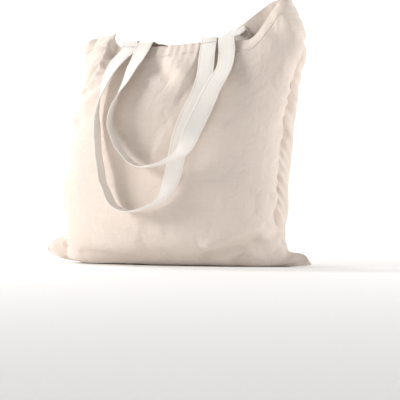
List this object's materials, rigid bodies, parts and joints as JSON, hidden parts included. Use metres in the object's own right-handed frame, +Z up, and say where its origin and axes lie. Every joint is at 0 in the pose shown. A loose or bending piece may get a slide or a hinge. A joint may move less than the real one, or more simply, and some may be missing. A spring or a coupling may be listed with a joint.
{
  "type": "canvas tote bag",
  "caption": "Flat-sewn natural cotton tote bag standing filled out, open mouth with a turned hem, and long strap handles dropped over the front.",
  "frame": {"origin": "middle of the bottom seam, on the surface that the bag stands on", "axes": "+Z up, +X to the right of the front panel, the front panel faces -Y"},
  "size_m": [0.38, 0.1762, 0.338],
  "materials": {
    "cotton_cloth": "natural unbleached plain weave",
    "cotton_strap": "folded self fabric, topstitched",
    "sewing_thread": "matt cotton thread"
  },
  "bodies": {
    "bag": {"front_panel": "cotton_cloth", "back_panel": "cotton_cloth", "front_top_hem": "cotton_cloth", "back_top_hem": "cotton_cloth", "left_side_seam": "cotton_cloth", "right_side_seam": "cotton_cloth", "bottom_seam": "cotton_cloth", "front_handle_ends": "cotton_strap", "front_handle_folds": "cotton_strap", "back_handle_ends": "cotton_strap", "back_handle_folds": "cotton_strap", "front_hem_thread": "sewing_thread", "back_hem_thread": "sewing_thread", "front_handle_tacks": "sewing_thread", "back_handle_tacks": "sewing_thread"},
    "front_handle": {"front_handle": "cotton_strap", "front_handle_thread": "sewing_thread"},
    "back_handle_bridges": {"back_handle_bridges": "cotton_strap"},
    "back_handle": {"back_handle": "cotton_strap", "back_handle_thread": "sewing_thread"}
  },
  "joints": [
    {"name": "front_handle_lift", "type": "hinge", "parent": "bag", "child": "front_handle", "pos_m": [0.007, -0.0285, 0.2865], "axis": [-0.999, 0.0438, 0], "range_deg": [0, 180], "deforming": ["front_handle_folds"]},
    {"name": "back_handle_lift", "type": "hinge", "parent": "bag", "child": "back_handle_bridges", "pos_m": [0.0275, 0.0165, 0.2915], "axis": [-0.9881, 0, -0.1541], "range_deg": [0, 90], "deforming": ["back_handle_folds"]},
    {"name": "back_handle_unfold", "type": "hinge", "parent": "back_handle_bridges", "child": "back_handle", "pos_m": [0.0305, -0.032, 0.288], "axis": [-1, 0, 0], "range_deg": [0, 90]}
  ],
  "couplings": [
    {"joint": "back_handle_lift", "follows": "front_handle_lift", "ratio": 0.5},
    {"joint": "back_handle_unfold", "follows": "front_handle_lift", "ratio": 0.5}
  ]
}
